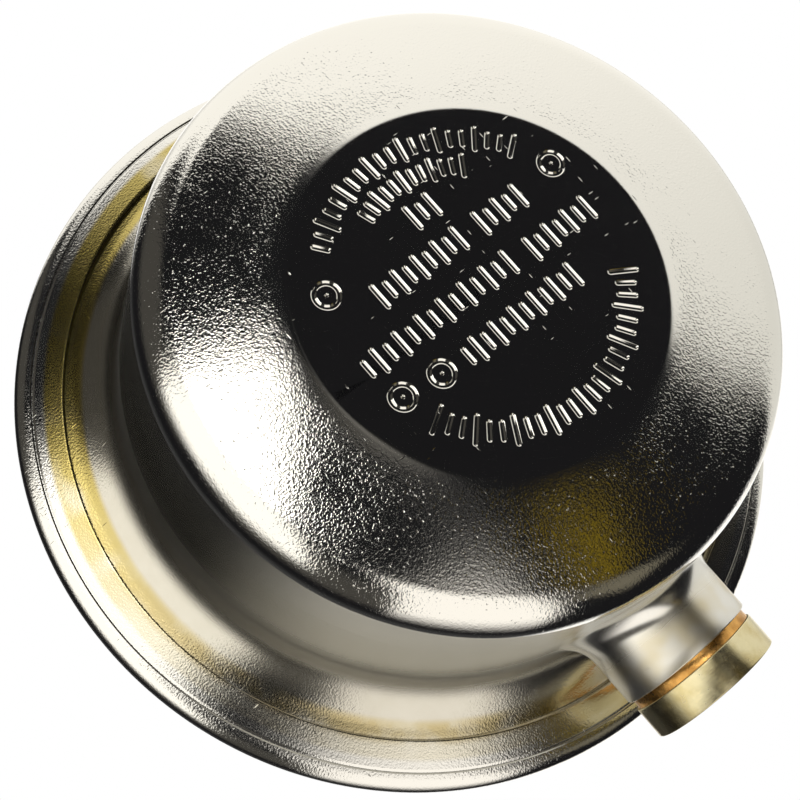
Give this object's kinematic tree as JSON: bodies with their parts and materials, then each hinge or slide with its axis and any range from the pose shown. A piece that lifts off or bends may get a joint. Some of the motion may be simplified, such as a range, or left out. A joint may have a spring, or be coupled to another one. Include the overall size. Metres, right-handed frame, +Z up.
{
  "type": "automatic air vent",
  "caption": "Float air vent for a steam radiator: a nickel-plated brass can with a folded seam, a threaded side inlet and a screw-in orifice on top.",
  "frame": {"origin": "centre of the flat marking panel on the bottom of the cup, on the vent's axis", "axes": "+Z up along the vent's axis, out of the orifice; +X along the inlet, out of its mouth"},
  "size_m": [0.0684, 0.0672, 0.0646],
  "materials": {
    "nickel_plate": "bright nickel plate over drawn brass",
    "turned_brass": "turned, thinly plated",
    "braze": "copper-rich braze, as run",
    "solder": "dull soft solder",
    "float_copper": "drawn copper, satin",
    "diaphragm_bronze": "rolled phosphor bronze",
    "spring_brass": "stamped strip",
    "pin_steel": "ground stainless steel",
    "seat_brass": "fine turned",
    "red_fibre": "vulcanised fibre"
  },
  "bodies": {
    "housing": {"lower_shell": "nickel_plate", "cover_shell": "nickel_plate", "seam_solder": "solder", "inlet_bush": "turned_brass", "inlet_braze": "braze", "float_stand": "spring_brass", "pin_guide": "spring_brass", "orifice_boss": "nickel_plate", "boss_solder": "solder", "valve_seat": "seat_brass"},
    "float": {"float_lower_can": "float_copper", "float_upper_can": "float_copper", "float_solder": "solder", "fill_plug": "solder", "pin_holder": "turned_brass", "valve_pin": "pin_steel", "diaphragm_ring": "turned_brass", "diaphragm": "diaphragm_bronze"},
    "foot": {"diaphragm_foot": "turned_brass"},
    "washer": {"orifice_washer": "red_fibre"},
    "plug": {"orifice_plug": "nickel_plate"}
  },
  "joints": [
    {"name": "float_lift", "type": "slide", "parent": "housing", "child": "float", "axis": [0, 0, 1], "range_m": [0, 0.003]},
    {"name": "diaphragm_flex", "type": "slide", "parent": "float", "child": "foot", "axis": [0, 0, -1], "range_m": [0, 0.0015], "deforming": ["diaphragm"]},
    {"name": "orifice_rise", "type": "slide", "parent": "housing", "child": "washer", "axis": [0, 0, 1], "range_m": [0, 0.00498]},
    {"name": "orifice_turn", "type": "hinge", "parent": "washer", "child": "plug", "pos_m": [0, 0, 0.06], "axis": [0, 0, 1], "range_deg": [0, 1980]}
  ],
  "couplings": [
    {"joint": "orifice_turn", "follows": "orifice_rise", "rad_per_m": 6926.3}
  ]
}
